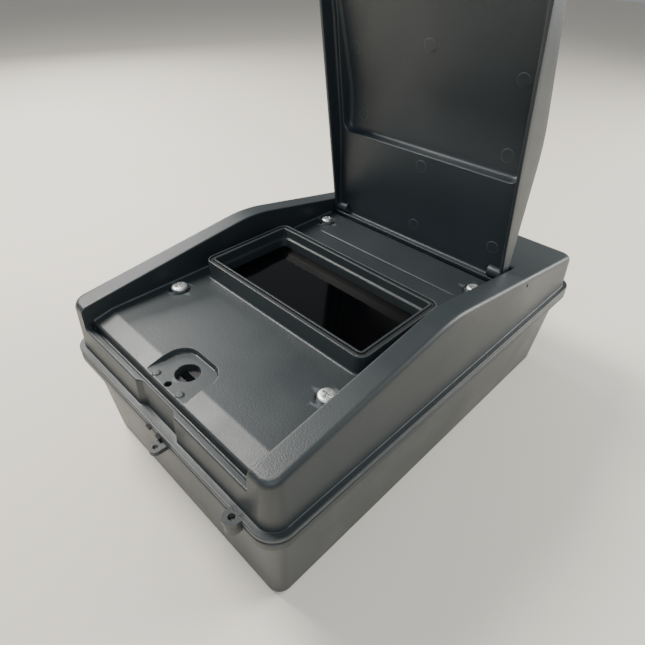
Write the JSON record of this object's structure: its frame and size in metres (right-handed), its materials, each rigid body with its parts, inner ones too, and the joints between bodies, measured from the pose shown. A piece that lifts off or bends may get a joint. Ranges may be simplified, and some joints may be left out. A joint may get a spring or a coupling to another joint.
{
  "type": "parking pay station terminal housing",
  "caption": "Flip-lid parking payment terminal housing: deep back tray, domed cover with sealed black window and lock recess, and a hinged lid standing open.",
  "frame": {"origin": "centre of the flat back face of the base, which rests on a wall or a table", "axes": "+Z out of the back face towards the lid, +Y along the length towards the hinge, +X across the width"},
  "size_m": [0.162, 0.2608, 0.2655],
  "materials": {
    "housing": "fine-grained slate grey",
    "lid": "fine-grained slate grey",
    "rubber": "matt black",
    "zinc": "bright zinc",
    "lock_metal": "nickel plated",
    "brass": "plain",
    "black_glass": "polished black",
    "frame_plastic": "black",
    "panel": "dark display panel",
    "board": "green solder mask",
    "can": "tinned",
    "black_part": "black",
    "socket_plastic": "ivory",
    "ribbon": "grey",
    "supply_case": "anodised",
    "terminal_plastic": "grey green"
  },
  "bodies": {
    "housing": {"base_box": "housing", "front_cover": "housing", "base_seal_ears": "housing", "cover_seal_ear": "housing", "cover_gasket": "rubber", "window_seal": "rubber", "cable_grommet": "rubber", "hinge_pins": "zinc", "front_cover_screws": "zinc", "rear_cover_screws": "zinc", "frame_screws": "zinc", "main_board_screws": "zinc", "reader_screws": "zinc", "power_supply_screws": "zinc", "front_inserts": "brass", "rear_inserts": "brass", "display_glass": "black_glass", "display_frame": "frame_plastic", "display_panel": "panel", "main_board": "board", "reader_board": "board", "processor_can": "can", "lock_socket": "black_part", "sounder": "black_part", "reader_chip": "black_part", "display_socket": "socket_plastic", "ribbon_cable": "ribbon", "power_supply": "supply_case", "terminal_block": "terminal_plastic"},
    "lid": {"lid": "lid"},
    "lock": {"lock_barrel": "lock_metal"}
  },
  "joints": [
    {"name": "lid_hinge", "type": "hinge", "parent": "housing", "child": "lid", "pos_m": [0, 0.058, 0.089], "axis": [1, 0, 0], "range_deg": [-8, 82.5]},
    {"name": "lid_lock", "type": "hinge", "parent": "lid", "child": "lock", "pos_m": [0, 0.02988, 0.25051], "axis": [0, 0.9914, 0.1305], "range_deg": [0, 90]}
  ]
}
